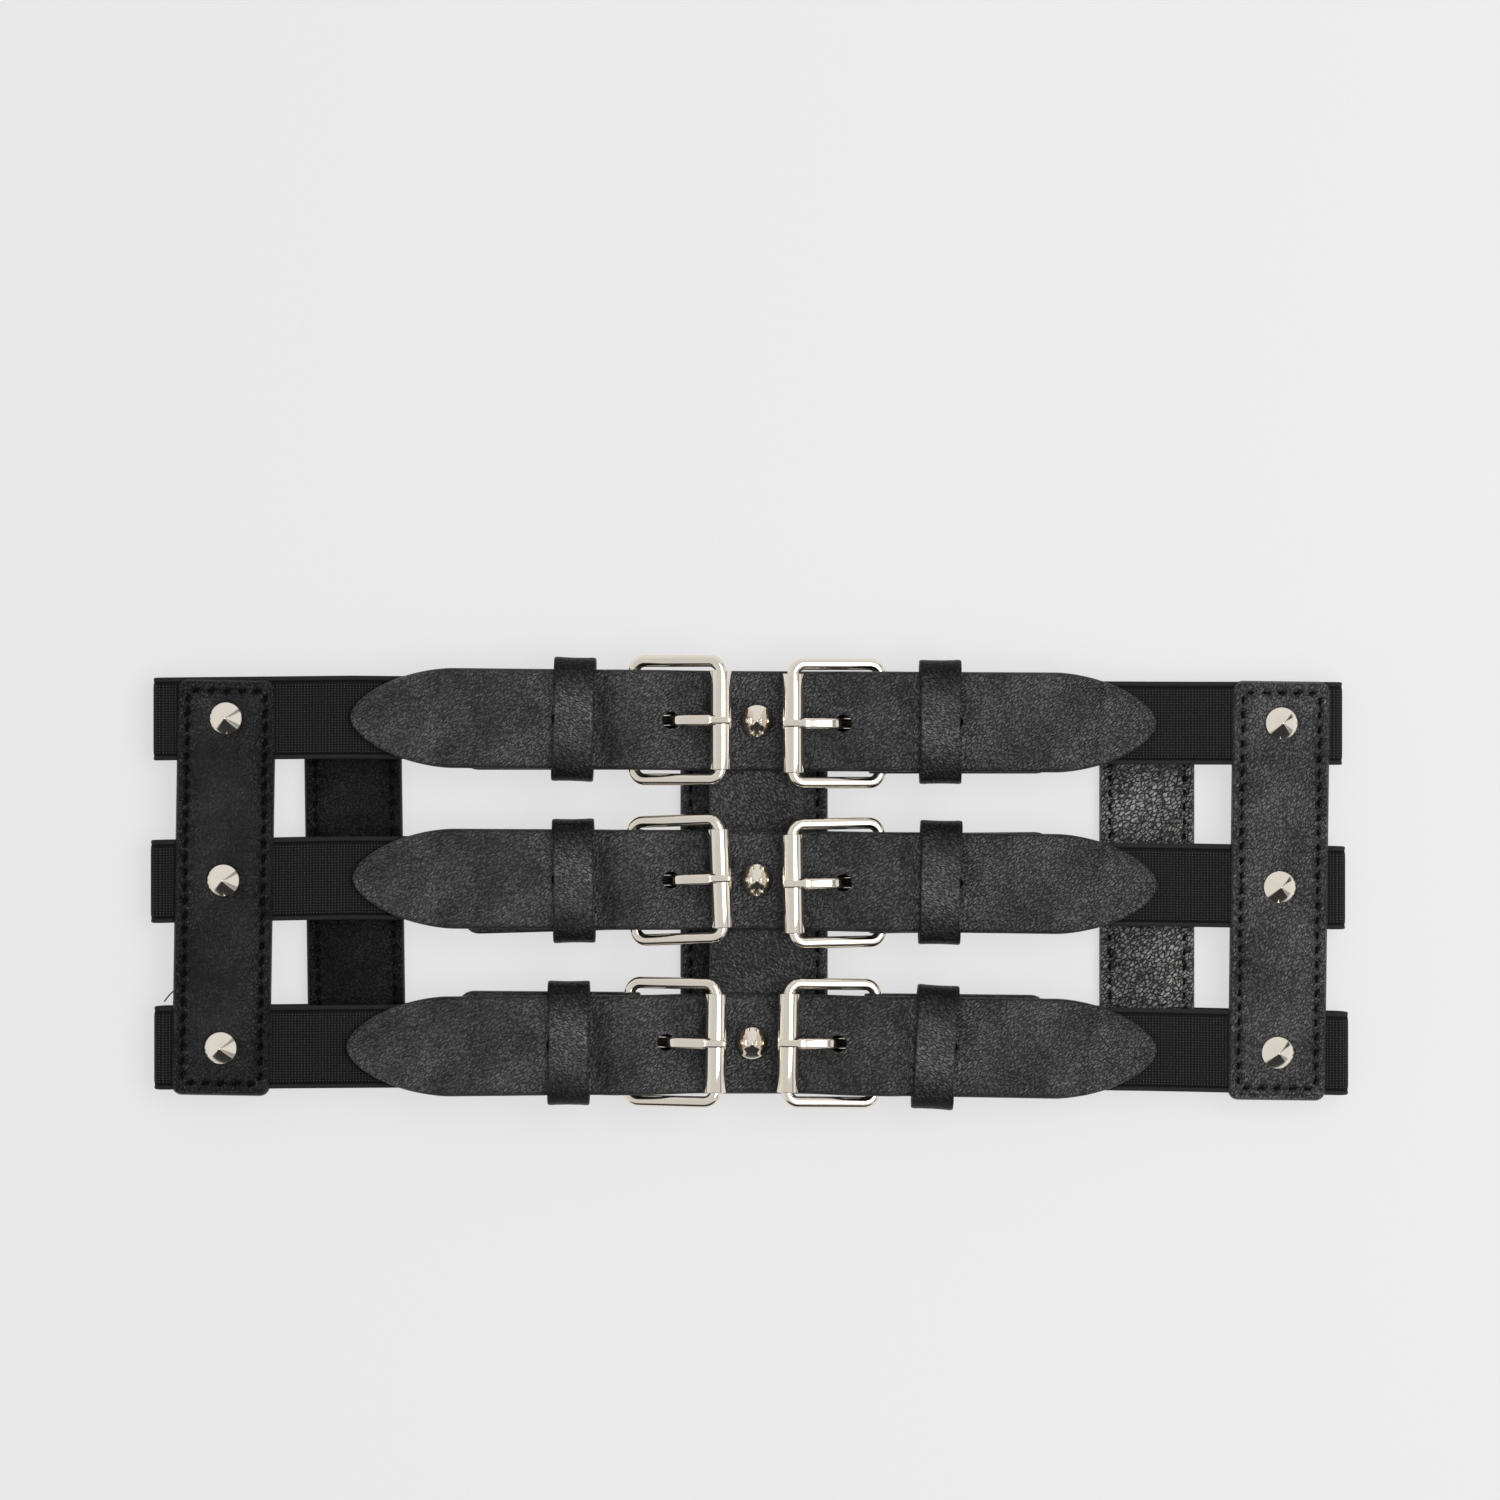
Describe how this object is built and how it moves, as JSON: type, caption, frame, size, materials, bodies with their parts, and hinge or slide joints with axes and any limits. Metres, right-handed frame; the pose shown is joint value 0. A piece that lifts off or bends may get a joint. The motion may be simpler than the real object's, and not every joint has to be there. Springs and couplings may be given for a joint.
{
  "type": "corset belt",
  "caption": "Wide waist belt of stacked pointed leather straps, buckled at both ends with roller buckles, on elastic bands with stitched, studded side panels, lying flat.",
  "frame": {"origin": "centre of the belt's plan, on the floor plane it lies on", "axes": "+X along the straps, +Y up the belt as worn, +Z out of its front and up from the floor"},
  "size_m": [0.3006, 0.1138, 0.0194],
  "materials": {
    "leather": "satin, fine grain",
    "elastic": "fine ribs, matt",
    "nickel": "polished, warm"
  },
  "bodies": {
    "root": {"back_panel_left": "leather", "back_panel_right": "leather", "buckle_frame_bottom_left": "nickel", "buckle_frame_bottom_right": "nickel", "buckle_frame_middle_left": "nickel", "buckle_frame_middle_right": "nickel", "buckle_frame_top_left": "nickel", "buckle_frame_top_right": "nickel", "closure_panel_left": "leather", "closure_panel_right": "leather", "closure_snap_bottom": "nickel", "closure_snap_middle": "nickel", "closure_snap_top": "nickel", "elastic_bottom_left": "elastic", "elastic_bottom_right": "elastic", "elastic_middle_left": "elastic", "elastic_middle_right": "elastic", "elastic_top_left": "elastic", "elastic_top_right": "elastic", "front_panel_left": "leather", "front_panel_right": "leather", "keeper_bottom_left": "leather", "keeper_bottom_right": "leather", "keeper_middle_left": "leather", "keeper_middle_right": "leather", "keeper_top_left": "leather", "keeper_top_right": "leather", "middle_panel": "leather", "middle_stud_bottom": "nickel", "middle_stud_middle": "nickel", "middle_stud_top": "nickel", "prong_bottom_left": "nickel", "prong_bottom_right": "nickel", "prong_middle_left": "nickel", "prong_middle_right": "nickel", "prong_top_left": "nickel", "prong_top_right": "nickel", "roller_bottom_left": "nickel", "roller_bottom_right": "nickel", "roller_middle_left": "nickel", "roller_middle_right": "nickel", "roller_top_left": "nickel", "roller_top_right": "nickel", "side_stud_bottom_left": "nickel", "side_stud_bottom_right": "nickel", "side_stud_middle_left": "nickel", "side_stud_middle_right": "nickel", "side_stud_top_left": "nickel", "side_stud_top_right": "nickel", "strap_bottom": "leather", "strap_middle": "leather", "strap_top": "leather", "tab_bottom_left": "leather", "tab_bottom_right": "leather", "tab_middle_left": "leather", "tab_middle_right": "leather", "tab_top_left": "leather", "tab_top_right": "leather"}
  },
  "joints": []
}
